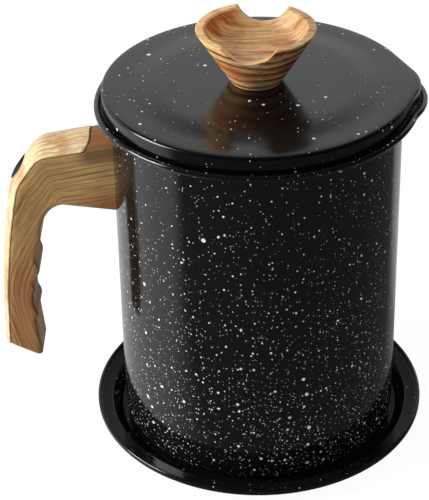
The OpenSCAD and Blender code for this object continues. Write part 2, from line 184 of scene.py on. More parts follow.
def cutWith(piece, cutter):
    selectOnly(piece)
    cut = piece.modifiers.new("cut", "BOOLEAN")
    cut.operation = "DIFFERENCE"
    cut.solver = "EXACT"
    cut.object = cutter
    bpy.ops.object.modifier_apply(modifier=cut.name)
    bpy.data.objects.remove(cutter)


# a material whose tree and shader are filled by the finishes below
def newMaterial(name):
    material = bpy.data.materials.new(name)
    material.use_nodes = True
    tree = material.node_tree
    return material, tree, tree.nodes["Principled BSDF"]


def addNode(tree, kind, inputs=None, **settings):
    node = tree.nodes.new("ShaderNode" + kind)
    for key, value in settings.items():
        setattr(node, key, value)
    for key, value in (inputs or {}).items():
        if isinstance(value, bpy.types.NodeSocket):
            tree.links.new(value, node.inputs[key])
        else:
            node.inputs[key].default_value = value
    return node


def addMath(tree, operation, a, b=0.0, clamp=False):
    return addNode(tree, "Math", {0: a, 1: b}, operation=operation,
                   use_clamp=clamp).outputs[0]


def addProduct(tree, first, *others):
    for other in others:
        first = addMath(tree, "MULTIPLY", first, other)
    return first


def addVectors(tree, operation, a, b):
    return addNode(tree, "VectorMath", {0: a, 1: b}, operation=operation).outputs[0]


def addParts(tree, vector):
    return addNode(tree, "SeparateXYZ", {0: vector}).outputs


def addReach(tree, a, b):
    squares = addMath(tree, "ADD", addProduct(tree, a, a), addProduct(tree, b, b))
    return addMath(tree, "SQRT", squares)


def addRange(tree, value, low, high, first, last, kind="LINEAR"):
    return addNode(tree, "MapRange", {0: value, 1: low, 2: high, 3: first, 4: last},
                   interpolation_type=kind).outputs[0]


def addMix(tree, share, first, second):
    return addNode(tree, "Mix", {0: share, 2: first, 3: second}).outputs[0]


def addNoise(tree, place, scale, detail, rough=0.5):
    return addNode(tree, "TexNoise", {
        "Vector": place, "Scale": scale, "Detail": detail, "Roughness": rough}).outputs[0]


# most of a noise lies between 0.3 and 0.7
def addSpread(tree, noise, first, last):
    return addRange(tree, noise, 0.3, 0.7, first, last)


# from 0 to share as the value, in metres, passes the zone, in mm
def addZone(tree, value, zone, share=1.0):
    return addRange(tree, value, zone[0] * mm, zone[1] * mm, 0.0, share)


# noise drawn out along the print's lines
def addStreaks(tree, place, alongScale, acrossScale, detail, rough=0.5):
    drawn = addNode(tree, "Mapping", {
        "Vector": place, "Scale": (alongScale, acrossScale, alongScale)}).outputs[0]
    return addNoise(tree, drawn, 1.0, detail, rough)


def addRamp(tree, value, stops):
    ramp = addNode(tree, "ValToRGB", {0: value})
    marks = ramp.color_ramp.elements
    while len(marks) < len(stops):
        marks.new(0.5)
    for mark, (place, colour) in zip(marks, stops):
        mark.position = place
        mark.color = (*colour, 1)
    return ramp.outputs[0]


def mixColour(tree, share, first, second, blend="MIX"):
    first, second = (value if isinstance(value, bpy.types.NodeSocket) else (*value, 1)
                     for value in (first, second))
    return addNode(tree, "Mix", {0: share, 6: first, 7: second},
                   data_type="RGBA", blend_type=blend).outputs[2]


# depth of the relief in mm
def linkShader(tree, shader, colour, rough, relief, depth, strength):
    normal = addNode(tree, "Bump", {
        "Height": relief, "Distance": depth * mm, "Strength": strength}).outputs[0]
    for name, value in (("Base Color", colour), ("Roughness", rough), ("Normal", normal)):
        tree.links.new(value, shader.inputs[name])


# black enamel with thrown white specks. A layer is its cell size and its smallest and largest
# radius, in mm, and the share of the cells that hold a speck
potSpecks = {
    "black": (0.0052, 0.0053, 0.0056), "speck": (0.95, 0.95, 0.93),
    "layers": [(1.1, 0.15, 0.24, 0.52), (1.9, 0.24, 0.37, 0.44), (3.2, 0.34, 0.56, 0.34),
               (6.0, 0.50, 0.92, 0.34)],
    "layerShift": (13.0, 7.0, 11.0),  # from layer to layer, in mm
    "lowZ": 5.0, "highZ": 130.0, "lowShare": 1.9, "highShare": 0.62,
    "driftScale": 38.0, "driftShare": 1.9,  # specks lie thicker here and there
    "wobbleScale": 700.0, "wobble": 0.3,  # they aren't quite round
    "edge": 9.0, "faint": (0.66, 1.4),  # how sharp they are, and how strong
    "roughness": 0.11, "smudgeScale": 45.0, "smudge": (0.85, 1.25),
    "peelScale": 210.0, "speckRise": 0.6, "relief": (0.012, 0.8),
}
lidSpecks = dict(
    potSpecks, black=(0.0018, 0.0019, 0.0022), lowShare=1.0, highShare=1.0, roughness=0.165,
    layers=[(1.7, 0.15, 0.24, 0.28), (3.0, 0.26, 0.44, 0.34), (5.5, 0.44, 0.92, 0.42)])
traySpecks = dict(
    potSpecks, black=(0.0048, 0.0049, 0.0054), lowShare=1.0, highShare=1.0, roughness=0.085,
    layers=[(1.6, 0.12, 0.20, 0.20), (3.0, 0.22, 0.38, 0.26), (5.5, 0.36, 0.60, 0.20)])


# one layer of specks, from 0 to 1
def addSpecks(tree, place, crowd, layer, look):
    cell, small, large, share = layer
    specks = addNode(tree, "TexVoronoi", {"Vector": place, "Scale": 1.0 / (cell * mm)})
    chance, size, strength = addNode(tree, "SeparateColor", {
        0: specks.outputs["Color"]}).outputs
    radius = addRange(tree, size, 0.0, 1.0, small / cell, large / cell)
    inside = addMath(tree, "SUBTRACT", radius, specks.outputs["Distance"])
    inside = addMath(tree, "MULTIPLY", inside, cell * look["edge"], clamp=True)
    there = addMath(tree, "LESS_THAN", chance, addProduct(tree, crowd, share))
    faint = addRange(tree, strength, 0.0, 1.0, *look["faint"])
    return addMath(tree, "MULTIPLY", addProduct(tree, inside, there), faint, clamp=True)


def speckledEnamel(name, look):
    material, tree, shader = newMaterial(name)
    place = addNode(tree, "TexCoord").outputs["Object"]
    height = addParts(tree, place)[2]
    crowd = addRange(tree, height, look["lowZ"] * mm, look["highZ"] * mm,
                     look["lowShare"], look["highShare"])
    drift = addNoise(tree, place, look["driftScale"], 2.0)
    crowd = addProduct(tree, crowd, addProduct(tree, drift, look["driftShare"]))
    wobble = addNode(tree, "TexNoise", {
        "Vector": place, "Scale": look["wobbleScale"], "Detail": 1.0}).outputs["Color"]
    bent = addVectors(tree, "MULTIPLY", wobble, (look["wobble"] * mm,) * 3)
    bentPlace = addVectors(tree, "ADD", place, bent)
    mask = None
    for index, layer in enumerate(look["layers"]):
        shift = tuple(index * way * mm for way in look["layerShift"])
        specks = addSpecks(tree, addVectors(tree, "ADD", bentPlace, shift), crowd, layer, look)
        mask = specks if mask is None else addMath(tree, "MAXIMUM", mask, specks)
    colour = mixColour(tree, mask, look["black"], look["speck"])
    smudge = addNoise(tree, place, look["smudgeScale"], 3.0)
    rough = addSpread(tree, smudge, *(look["roughness"] * part for part in look["smudge"]))
    peel = addNoise(tree, place, look["peelScale"], 2.0)
    relief = addMath(tree, "ADD", peel, addProduct(tree, mask, look["speckRise"]))
    linkShader(tree, shader, colour, rough, relief, *look["relief"])
    shader.inputs["IOR"].default_value = 1.5
    return material


# printed wood film over moulded plastic; the print follows the piece's own texture lines.
# lineGap is the spacing of the grain lines in mm, waves bend them, streak is their stretch.
# Zones go from and to, in mm, along the handle or over its side from the seam
gripWood = {
    "dark": (0.225, 0.095, 0.030), "middle": (0.50, 0.292, 0.103), "light": (0.62, 0.400, 0.158),
    "red": (0.37, 0.125, 0.036), "lineGap": 2.2, "lineWide": 0.07, "waves": 2.6,
    "waveScale": (9.0, 42.0), "lineLow": 0.0, "roughness": 0.48, "redShare": 0.62,
    "contrast": 0.42, "streak": 16.0,
    "wander": 6.0,  # how far a zone's edge wanders
    "endAlong": (32.0, 6.0), "endOver": (17.0, 24.0), "endRed": 0.85,
    "downAlong": (16.0, 85.0), "downRed": 0.62, "downSpread": (0.45, 1.25),
    # painted shade: the bare arm top next to the pot is darkened as if in the shadow of the lid
    # and bead
    "armTopShadeAlong": (14.5, 9.5), "armTopShadeOver": (5.0, 0.5), "armTopShadeEnd": -20.0, "armTopShadeShare": 0.8,
    "armTopShadeColour": (0.150, 0.072, 0.028),
}
coverWood = {
    "dark": (0.50, 0.25, 0.100), "middle": (0.80, 0.585, 0.32), "light": (0.87, 0.70, 0.445),
    "red": (0.56, 0.27, 0.115), "lineGap": 2.4, "lineWide": 0.08, "waves": 3.6,
    "waveScale": (40.0, 70.0), "lineLow": 0.0, "roughness": 0.44, "redShare": 0.70,
    "contrast": 0.32, "streak": 60.0,
}
knobWood = {
    "dark": (0.165, 0.018, 0.004), "middle": (0.76, 0.415, 0.165), "light": (0.95, 0.655, 0.32),
    "red": (0.44, 0.090, 0.020), "lineGap": 3.7, "lineWide": 0.15, "waves": 1.8,
    "waveScale": (30.0, 44.0), "lineLow": 0.75, "roughness": 0.44, "redShare": 0.75,
    "contrast": 0.46, "streak": 40.0,
    "cone": (0.6076, 82.8),  # slope and drop in mm: beyond this reach it is the outside
    "ringTilt": 0.07, "dishTilt": (1.55, 0.45), "dishPlain": 0.20,
    # painted light: how far and how strongly the knob is lightened on the left and darkened on the
    # right
    "outerLightFar": 14.0, "outerLightSide": (1.55, 0.62), "dishLightFar": 12.0, "dishLightSide": (1.55, 0.90),
    # painted shade on the dish's back-left wall: where it lies, how strong it is, how far its edge
    # wanders
    "patchX": (-3.0, -10.0), "patchZ": (166.0, 169.5), "patchReach": 19.0,
    "patchShare": 0.85, "patchWander": 4.0, "patchScale": (60.0, 120.0),
}
# what the three prints share: noise scales across the grain, depths in mm
film = {
    "bend": 210.0, "fine": 1250.0, "fineShift": 0.09, "plain": 300.0, "shown": 150.0,
    "red": 85.0, "down": 120.0, "cloud": (7.0, 30.0), "cloudShade": (0.90, 1.08),
    "pore": 2000.0, "poreStretch": 8.0, "poreShare": 0.5, "poreDepth": 1.2,
    "relief": (0.05, 0.5), "sheen": 0.3,
}
# the sunk screw hole has no film: bare plastic, painted dark as the shade deep in the hole, inside
# this radius and beyond this x, in mm
bareHoleShade = {"radius": 4.72, "from": -76.7, "z": 115.8, "colour": (0.085, 0.076, 0.050)}


# level rings outside, lines from side to side in the dish
def knobPlace(tree, spot, look):
    x, y, z = spot
    slope, drop = look["cone"]
    cone = addMath(tree, "SUBTRACT", addProduct(tree, z, slope), drop * mm)
    outside = addMath(tree, "GREATER_THAN", addReach(tree, x, y), cone)
    rings = addMath(tree, "ADD", z, addProduct(tree, x, look["ringTilt"]))
    tiltY, tiltZ = look["dishTilt"]
    level = addMath(tree, "ADD", addProduct(tree, y, tiltY), addProduct(tree, z, tiltZ))
    across = addMix(tree, outside, level, rings)
    third = addMix(tree, outside, z, y)
    return addNode(tree, "CombineXYZ", {0: x, 1: across, 2: third}).outputs[0], outside


# painted shade: the dish's back-left wall, which lies in shade, is made redder and darker
def knobShadePatch(tree, spot, place, look):
    x, y, z = spot
    far = look["patchWander"] * mm
    wander = addSpread(tree, addStreaks(tree, place, *look["patchScale"], 3.0), -far, far)
    return addProduct(
        tree, addZone(tree, addMath(tree, "ADD", x, wander), look["patchX"], look["patchShare"]),
        addZone(tree, addMath(tree, "ADD", z, wander), look["patchZ"]),
        addMath(tree, "LESS_THAN", addReach(tree, x, y), look["patchReach"] * mm),
        addMath(tree, "GREATER_THAN", y, 0.0))


# painted light: the knob is lighter on its left, where the key light falls, and darker on its
# right
def knobSideLight(tree, x, outside, look):
    dish, outer = (addRange(tree, x, -look[far] * mm, look[far] * mm, *look[side])
                   for far, side in (("dishLightFar", "dishLightSide"), ("outerLightFar", "outerLightSide")))
    return addMix(tree, outside, dish, outer)


# how red the grip is at the arm's lower end and down its length, and the painted shade on the bare
# arm's top near the pot, under the lid and bead
def gripZones(tree, place, waves, look):
    along, over, _ = addParts(tree, place)
    far = look["wander"] * mm
    wander = addSpread(tree, waves, -far, far)
    overEdge = addMath(tree, "ADD", over, wander)
    end = addProduct(
        tree, addZone(tree, addMath(tree, "ADD", along, wander), look["endAlong"], look["endRed"]),
        addZone(tree, overEdge, look["endOver"]))
    spread = addStreaks(tree, place, look["streak"], film["down"], 3.0)
    down = addProduct(tree, addZone(tree, along, look["downAlong"], look["downRed"]),
                      addRange(tree, spread, 0.36, 0.64, *look["downSpread"]))
    # painted shade on the arm's bare top, under the lid and bead
    top = addProduct(tree, addZone(tree, overEdge, look["armTopShadeOver"]),
                     addMath(tree, "GREATER_THAN", over, look["armTopShadeEnd"] * mm),
                     addZone(tree, along, look["armTopShadeAlong"], look["armTopShadeShare"]))
    return addMath(tree, "MAXIMUM", end, down), top


# painted shade: where the inside of the deep screw hole is painted dark
def holeShadeMask(tree, spot):
    x, y, z = spot
    up = addMath(tree, "SUBTRACT", z, bareHoleShade["z"] * mm)
    return addProduct(
        tree, addMath(tree, "LESS_THAN", addReach(tree, up, y), bareHoleShade["radius"] * mm),
        addMath(tree, "LESS_THAN", x, bareHoleShade["from"] * mm))


def woodFilm(name, look, isKnob=False):
    material, tree, shader = newMaterial(name)
    coordinates = addNode(tree, "TexCoord")
    spot = addParts(tree, coordinates.outputs["Object"])
    place = coordinates.outputs["UV"]
    if isKnob:
        place, outside = knobPlace(tree, spot, look)
    across = addParts(tree, place)[1]
    streak, wide, contrast = look["streak"], look["lineWide"], look["contrast"]
    # grain lines, bent by waves and broken up by the fine grain
    waves = addStreaks(tree, place, *look["waveScale"], 2.0)
    fine = addStreaks(tree, place, 2.0 * streak, film["fine"], 4.0, 0.62)
    lines = addMath(tree, "ADD", addProduct(tree, across, 1.0 / (look["lineGap"] * mm)),
                    addProduct(tree, waves, look["waves"]))
    lines = addMath(tree, "ADD", lines, addStreaks(tree, place, streak, film["bend"], 2.0))
    lines = addMath(tree, "FRACT", lines)
    shift = film["fineShift"]
    lines = addMath(tree, "ADD", lines, addRange(tree, fine, 0.2, 0.8, -shift, shift), clamp=True)
    grain = addRamp(tree, lines, [
        (0.4 * wide, look["dark"]), (wide, look["middle"]), (0.42, look["light"]),
        (0.93 - 1.6 * wide, look["middle"]), (1.0 - 0.5 * wide, look["dark"])])
    # between the lines, and where none shows, the film is plain
    plain = mixColour(tree, addStreaks(tree, place, streak, film["plain"], 4.0),
                      look["middle"], look["light"])
    shown = addRange(tree, addStreaks(tree, place, streak, film["shown"], 2.0),
                     0.40, 0.62, look["lineLow"], 1.0)
    if isKnob:
        shown = addProduct(tree, shown, addRange(tree, outside, 0.0, 1.0, look["dishPlain"], 1.0))
    colour = mixColour(tree, shown, plain, grain)
    # redder places
    reddish = addRange(tree, addStreaks(tree, place, 1.2 * streak, film["red"], 3.0),
                       0.52, 0.66, 0.0, look["redShare"])
    # painted shade on the dish's back-left wall
    if isKnob:
        reddish = addMath(tree, "MAXIMUM", reddish, knobShadePatch(tree, spot, place, look))
    # painted shade on the bare arm top under the lid and bead
    if "armTopShadeColour" in look:
        zones, armTopShade = gripZones(tree, place, waves, look)
        reddish = addMath(tree, "MAXIMUM", reddish, zones)
        colour = mixColour(tree, armTopShade, colour, look["armTopShadeColour"])
    colour = mixColour(tree, reddish, colour, look["red"])
    # lighter and darker fibres and clouds, and pores
    shade = addProduct(
        tree, addRange(tree, fine, 0.32, 0.68, 1.0 - contrast, 1.0 + 0.7 * contrast),
        addSpread(tree, addStreaks(tree, place, *film["cloud"], 1.0),
                  *film["cloudShade"]))
    # painted light: lighter to the left and darker to the right
    if isKnob:
        shade = addProduct(tree, shade, knobSideLight(tree, spot[0], outside, look))
    grey = addNode(tree, "CombineColor", {0: shade, 1: shade, 2: shade}).outputs[0]
    colour = mixColour(tree, 1.0, colour, grey, "MULTIPLY")
    pores = addStreaks(tree, place, film["poreStretch"] * streak, film["pore"], 2.0)
    pores = addRange(tree, pores, 0.57, 0.66, 0.0, film["poreShare"])
    colour = mixColour(tree, pores, colour, look["dark"])
    # painted shade inside the deep screw hole, over its bare plastic
    if not isKnob:
        colour = mixColour(tree, holeShadeMask(tree, spot), colour, bareHoleShade["colour"])
    rough = addSpread(tree, fine, look["roughness"] + 0.05, look["roughness"] - 0.05)
    relief = addMath(tree, "SUBTRACT", fine, addProduct(tree, pores, film["poreDepth"]))
    linkShader(tree, shader, colour, rough, relief, *film["relief"])
    shader.inputs["Specular IOR Level"].default_value = film["sheen"]
    return material


satinSteel = {"colour": (0.60, 0.60, 0.59), "roughness": 0.26, "scratch": 900.0}
screwSteel = {"colour": (0.52, 0.52, 0.53), "roughness": 0.34, "scratch": 1400.0}
insertBrass = {"colour": (0.62, 0.44, 0.18), "roughness": 0.30, "scratch": 1200.0}


# the fine marks run round the axis, as a press or lathe leaves them
def turnedMetal(name, look):
    material, tree, shader = newMaterial(name)
    place = addNode(tree, "TexCoord").outputs["Object"]
    x, y, z = addParts(tree, place)
    line = addNode(tree, "CombineXYZ", {0: addReach(tree, x, y), 1: z}).outputs[0]
    marks = addNoise(tree, line, look["scratch"], 4.0)
    cloud = addNoise(tree, place, 60.0, 3.0)
    dull = tuple(c * 0.82 for c in look["colour"])
    colour = mixColour(tree, cloud, look["colour"], dull)
    rough = addSpread(tree, marks, look["roughness"] - 0.06, look["roughness"] + 0.08)
    linkShader(tree, shader, colour, rough, marks, 0.01, 0.5)
    shader.inputs["Metallic"].default_value = 1.0
    return material


def dress(piece, material, body, node):
    piece.data.materials.clear()
    piece.data.materials.append(material)
    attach(piece, body)
    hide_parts(node)


potEnamel = speckledEnamel("speckledPotEnamel", potSpecks)
lidEnamel = speckledEnamel("speckledLidEnamel", lidSpecks)
trayEnamel = speckledEnamel("speckledTrayEnamel", traySpecks)
gripFilm = woodFilm("gripWoodFilm", gripWood)
coverFilm = woodFilm("coverWoodFilm", coverWood)
knobFilm = woodFilm("knobWoodFilm", knobWood, isKnob=True)
strainerSteel = turnedMetal("satinStrainerSteel", satinSteel)
fastenerSteel = turnedMetal("fastenerSteel", screwSteel)
insertMetal = turnedMetal("insertBrass", insertBrass)
print("materials made")


# all sizes of the pieces are in mm
tray = {
    "radius": 67.6, "flange": 61.4, "flangeZ": 6.0, "recess": 57.5, "sheet": 1.4, "lip": 1.4,
    "footRound": 1.6, "riseRound": 1.2, "rimRound": 1.35, "lipRound": 0.68, "innerRound": 0.5,
    "bendRound": 0.9, "floorRings": (30, 54), "steps": 224, "smooth": 50,
}


def makeTray():
    t, out, recess, flange = take(tray, "sheet", "radius", "recess", "flange")
    flangeTop, bend, lip = take(tray, "flangeZ", "bendRound", "lipRound")
    low, lipTop = flangeTop - t, flangeTop + tray["lip"]
    near, far = tray["floorRings"]
    outline = roundedOutline([
        (0, 0, 0), (near, 0, 0), (recess + t, 0, tray["footRound"]),
        (flange + t, low, tray["riseRound"]), (out, low, tray["rimRound"]),
        (out, lipTop, lip), (out - t, lipTop, lip), (out - t, flangeTop, tray["innerRound"]),
        (flange, flangeTop, bend), (recess, t, bend), (far, t, 0), (near, t, 0), (0, t, 0)])
    piece = spinOutline("trayShell", outline, tray["steps"])
    closeAndSmooth(piece, tray["smooth"])
    dress(piece, trayEnamel, "tray", "coaster_tray")


makeTray()
print("tray made")


pot = {
    "radius": 55.8, "mouth": 55.2, "bottom": 1.4, "seat": 143.4, "sheet": 1.2, "corner": 6.0,
    "neckRound": 0.4, "wallFoot": 8.0, "floorRings": (25, 30), "wallRings": 11, "innerRings": 8,
    "flangeUnder": [(57.5, 0.0), (59.1, 0.0), (59.45, -0.03)],  # over its underside
    "beadFoot": [(58.93, 0.12), (58.74, 0.02), (58.5, 0.0), (57.0, 0.0)],  # over the seat
    "beadRing": 60.2, "bead": 1.2, "beadZ": 143.3, "beadTurn": (-112, 168),
    "beakX": 34.4, "beakRing": 28.8, "beakSoft": 0.5, "beakTrim": 0.002,
    "drawFrom": 55.6, "drawWide": 3.2, "drawLow": 130.0, "steps": 240, "smooth": 50,
}
potWallTop = pot["seat"] - pot["sheet"] - pot["neckRound"]
potTaper = pot["radius"] - pot["mouth"]


# how far the bead's middle is from the axis in a direction
def beadRing(a):
    side = pot["beakRing"] ** 2 - (pot["beakX"] * sin(a)) ** 2
    beak = pot["beakX"] * cos(a) + sqrt(side) if side > 0 and cos(a) > 0 else 0
    return softMax(pot["beadRing"], beak, pot["beakSoft"]) - pot["beakTrim"]


# only the flange and the bead are drawn out into the beak
def potDraw(reach, a, z):
    if reach <= pot["drawFrom"] or z <= pot["drawLow"]:
        return 0.0
    share = min(1.0, (reach - pot["drawFrom"]) / pot["drawWide"])
    return (beadRing(a) - pot["beadRing"]) * share / reach


def makePot():
    out, mouth, t, seat, low = take(pot, "radius", "mouth", "sheet", "seat", "bottom")
    corner, neck, foot = take(pot, "corner", "neckRound", "wallFoot")
    near, far = pot["floorRings"]
    outside = roundedOutline([
        (0, low, 0), (near, low, 0), (out, low, corner), (out, seat, 0)])[:-1]
    outside += [(out - potTaper * share, foot + (potWallTop - neck - foot) * share)
                for share in shares(pot["wallRings"], 0)]
    outside += arcPoints(mouth + neck, potWallTop, neck, 180, 90, 4)
    outside += [(x, seat - t + z) for x, z in pot["flangeUnder"]]
    bead = arcPoints(pot["beadRing"], pot["beadZ"], pot["bead"], *pot["beadTurn"], 22)
    top = [(x, seat + z) for x, z in pot["beadFoot"]]
    top += arcPoints(mouth + neck, potWallTop, neck + t, 90, 180, 6)
    inside = [(mouth - t + potTaper * share, potWallTop + (foot - potWallTop) * share)
              for share in shares(pot["innerRings"])]
    inside += arcPoints(out - corner, low + corner, corner - t, 0, -90, 8)
    inside += [(far, low + t), (0, low + t)]
    piece = spinOutline("potShell", outside + bead + top + inside, pot["steps"])
    drawOut(piece, potDraw)
    closeAndSmooth(piece, pot["smooth"])
    dress(piece, potEnamel, "pot", "pot_body")


makePot()
print("pot made")


lid = {
    "radius": 58.4, "foot": 143.4, "top": 150.4, "sheet": 1.1, "hole": 2.2,
    "rise": 0.7, "riseIn": 36.0, "riseOut": 50.0, "riseSteps": 14,
    "edge": 1.3, "footRound": 0.35, "innerRound": 0.7, "topRings": (12, 28), "underRing": 20,
    "beakX": 41.64, "beakRadius": 20.0, "drawFrom": 46, "drawTo": 57, "steps": 240, "smooth": 50,
}
lidTangent = acos((lid["radius"] - lid["beakRadius"]) / lid["beakX"])


# the skirt's reach in a direction: a large round, a small one and tangents between them
def lidReach(a):
    a = abs(atan2(sin(a), cos(a)))
    beakX, beakRadius = take(lid, "beakX", "beakRadius")
    touch = atan2(beakRadius * sin(lidTangent), beakX + beakRadius * cos(lidTangent))
    if a <= touch:
        return beakX * cos(a) + sqrt(beakRadius ** 2 - (beakX * sin(a)) ** 2)
    if a < lidTangent:
        return lid["radius"] / cos(lidTangent - a)
    return lid["radius"]


def lidDraw(reach, a, _):
    share = blendTo(reach, lid["drawFrom"], lid["drawTo"])
    return (lidReach(a) - lid["radius"]) * share / reach if share else 0.0


def makeLid():
    out, foot, top, t, hole = take(lid, "radius", "foot", "top", "sheet", "hole")
    rise, first, last = take(lid, "rise", "riseIn", "riseOut")
    middle = top + rise
    slope = [first + (last - first) * share for share in shares(lid["riseSteps"], 0)]
    over = [(x, top + rise * (1 - blendTo(x, first, last))) for x in slope]
    outline = [(x, middle) for x in (hole, *lid["topRings"])] + over
    # plain rings stand beside the roundings
    outline += roundedOutline([
        (last + 2, top, 0), (out - 4, top, 0), (out, top, lid["edge"]), (out, foot + 3, 0),
        (out, foot, lid["footRound"]), (out - t, foot, lid["footRound"]),
        (out - t, top - t, lid["innerRound"]), (out - 5, top - t, 0), (out - 7, top - t, 0)])[:-1]
    outline += [(x, z - t) for x, z in reversed(over)]
    outline += [(lid["underRing"], middle - t), (hole, middle - t), (hole, middle)]
    piece = spinOutline("lidShell", outline, lid["steps"])
    drawOut(piece, lidDraw)
    closeAndSmooth(piece, lid["smooth"])
    dress(piece, lidEnamel, "lid", "lid")


makeLid()
print("lid made")


knob = {
    "z": 151.1, "height": 21.5, "top": 22.6, "foot": 9.9, "footRound": 1.2, "sideIn": 0.16,
    "sideUp": 0.6, "bore": 3.4, "boreDepth": 8.5, "footRing": 6,
    "dish": [(30, 21.5, 0), (19.3, 21.5, 0.6), (15.9, 14.4, 4.2), (7.5, 13.5, 20),
             (3, 13.4, 0), (0, 13.4, 0)],
    "scoop": 5.8, "scoopRadius": 11.0, "turn": -9.0, "round": 0.5, "soft": 0.35,
    "steps": 256, "sideRings": 12, "roundRings": 6, "dishRings": 60, "dishCrowd": 1.4,
    "smooth": 60,
}
knobDish = roundedOutline(knob["dish"])[::-1]


# the dish with the scoop that is cut right across it
def knobTop(r, a):
    off, radius = r * sin(a - radians(90 + knob["turn"])), knob["scoopRadius"]
    scoop = knob["height"] - knob["scoop"] + radius - sqrt(max(radius ** 2 - off ** 2, 0.5))
    return softMin(alongLine(knobDish, r), scoop, knob["soft"])


def knobSide(z):
    low, foot = knob["sideUp"], knob["foot"] - knob["sideIn"]
    return foot + (z - low) * (knob["top"] - foot) / (knob["height"] - low)


# height at which the side meets the dish or the scoop
def knobEdge(a):
    low, high = 4.0, 26.0
    for _ in range(24):
        z = (low + high) / 2
        if z < knobTop(knobSide(z), a):
            low = z
        else:
            high = z
    return low


# a line from the bore over the foot, side and rim to the dish's middle
def knobLine(a):
    bore, depth, rim, foot, low = take(knob, "bore", "boreDepth", "round", "footRound", "sideUp")
    edgeZ = knobEdge(a)
    edge = (knobSide(edgeZ), edgeZ)
    under = (knobSide(edgeZ - rim), edgeZ - rim)
    over = (edge[0] - rim, knobTop(edge[0] - rim, a))
    line = [(0, depth), (bore, depth), (bore, 0), (knob["footRing"], 0)]
    line += arcPoints(knob["foot"] - foot, foot, foot, -90, -30, 5)
    for share in shares(knob["sideRings"]):
        z = low + (under[1] - low) * share
        line.append((knobSide(z), z))
    for t in shares(knob["roundRings"]):
        line.append(tuple(under[n] * (1 - t) ** 2 + 2 * t * (1 - t) * edge[n] + over[n] * t * t
                          for n in (0, 1)))
    for share in shares(knob["dishRings"]):
        r = over[0] * (1 - share ** knob["dishCrowd"])
        line.append((r, knobTop(r, a)))
    return [(r * cos(a), r * sin(a), z + knob["z"]) for r, z in line]


def makeKnob():
    columns = [knobLine(2 * pi * i / knob["steps"]) for i in range(knob["steps"])]
    piece = wrapRings("knobBody", list(zip(*columns)))
    closeAndSmooth(piece, knob["smooth"])
    dress(piece, knobFilm, "lid", "knob")


makeKnob()
print("knob made")


# side views are (reach from the axis, z); each ridge has its place down the grip, height and reach
handle = {
    "width": 19.5, "armTop": (55.2, 128.32), "armFoot": (55.2, 100.12), "bendTop": (83.4, 123.65),
    "bendFoot": (92.2, 111.15), "gripEnd": (100.705, 38.75), "bow": 360.0,
    "innerTop": (75.1, 102.917), "oval": (10.2, 16.2), "ovalTurn": (40, 50), "ovalShare": 0.2,
    "gripThick": 12.2, "endRise": 6.4,
    "hollow": 3.2, "ridges": [(0.265, 2.2, 0.12), (0.424, 0.8, 0.05), (0.636, 1.2, 0.077)],
    "crown": 2.6, "lowCrown": 0.85, "swell": 1.2, "crownFrom": 8.1,
    "edge": 0.8, "step": 0.5, "round": 2.0, "endRound": 1.1, "soften": 3.0,
    "seam": 0.3, "seamDepth": 0.4, "bareEdge": 0.9, "coverEdge": 0.42, "coverFoot": (0.9, 0.0),
    "coverRise": (0.06, 0.26), "tuck": 0.06,
    "tongueX": 63.0, "tongueCorner": 7.0, "tongueOver": 1.0, "planShare": 0.9866,
    "streakDrift": [(15, 30, 92), (-9, 88, 122)], "wallGap": 0.05, "firstStep": 1.5, "smooth": 40,
    # bores along x, with their radius and where they start and end
    "screwZ": 115.8, "gripBores": [(2.75, 50, 90), (4.6, 76.2, 110), (5.75, 50, 64.45)],
    "coverBores": [(4.6, 70, 110)], "boreSides": 72,
}
armTop, armFoot = Vector(handle["armTop"]), Vector(handle["armFoot"])
bendTop, bendFoot = Vector(handle["bendTop"]), Vector(handle["bendFoot"])
gripEnd, innerTop = Vector(handle["gripEnd"]), Vector(handle["innerTop"])
armLength = (bendTop - armTop).length
slopeLength = (bendFoot - bendTop).length
chord = gripEnd - bendFoot
backHalf = asin(chord.length / 2 / handle["bow"])
backLength = 2 * backHalf * handle["bow"]
backCentre = (bendFoot + gripEnd) / 2 + sqrt(handle["bow"] ** 2 - chord.length ** 2 / 4) * Vector(
    (chord.y, -chord.x)).normalized()
backStart = atan2(bendFoot.y - backCentre.y, bendFoot.x - backCentre.x)
pathLength = armLength + slopeLength + backLength
ovalCentre = innerTop - Vector((0, handle["oval"][1]))
fingerTop = ovalCentre + Vector((handle["oval"][0], 0))
innerEnd = gripEnd - Vector((handle["gripThick"], handle["endRise"]))
tongueStart = (handle["tongueX"] - armTop.x) * armLength / (bendTop.x - armTop.x)
halfWidth = handle["width"] / 2
endDown = Vector((innerEnd.y - gripEnd.y, gripEnd.x - innerEnd.x)).normalized()
if endDown.y > 0:
    endDown = -endDown


# the seam's line in side view, s mm from the pot's wall
def seamLine(s):
    if s < armLength:
        return armTop + (bendTop - armTop) * (s / armLength)
    s -= armLength
    if s < slopeLength:
        return bendTop + (bendFoot - bendTop) * (s / slopeLength)
    a = backStart - 2 * backHalf * (s - slopeLength) / backLength
    return backCentre + handle["bow"] * Vector((cos(a), sin(a)))


def softSeam(s, samples=6):
    total = Vector((0, 0))
    for k in range(-samples, samples + 1):
        total += seamLine(s + handle["soften"] * k / samples)
    return total / (2 * samples + 1)


def seamOut(s, near=0.4):
    ahead = softSeam(s + near) - softSeam(s - near)
    return Vector((-ahead.y, ahead.x)).normalized()


def fingerLine(u):
    x = handle["hollow"] * sin(pi * u ** 0.8)
    for middle, height, reach in handle["ridges"]:
        if abs(u - middle) < reach:
            x -= height * (1 + cos(pi * (u - middle) / reach)) / 2
    return fingerTop + (innerEnd - fingerTop) * u + Vector((x, 0))


def ovalLine(degrees):
    a = radians(degrees)
    return ovalCentre + Vector((handle["oval"][0] * sin(a), handle["oval"][1] * cos(a)))


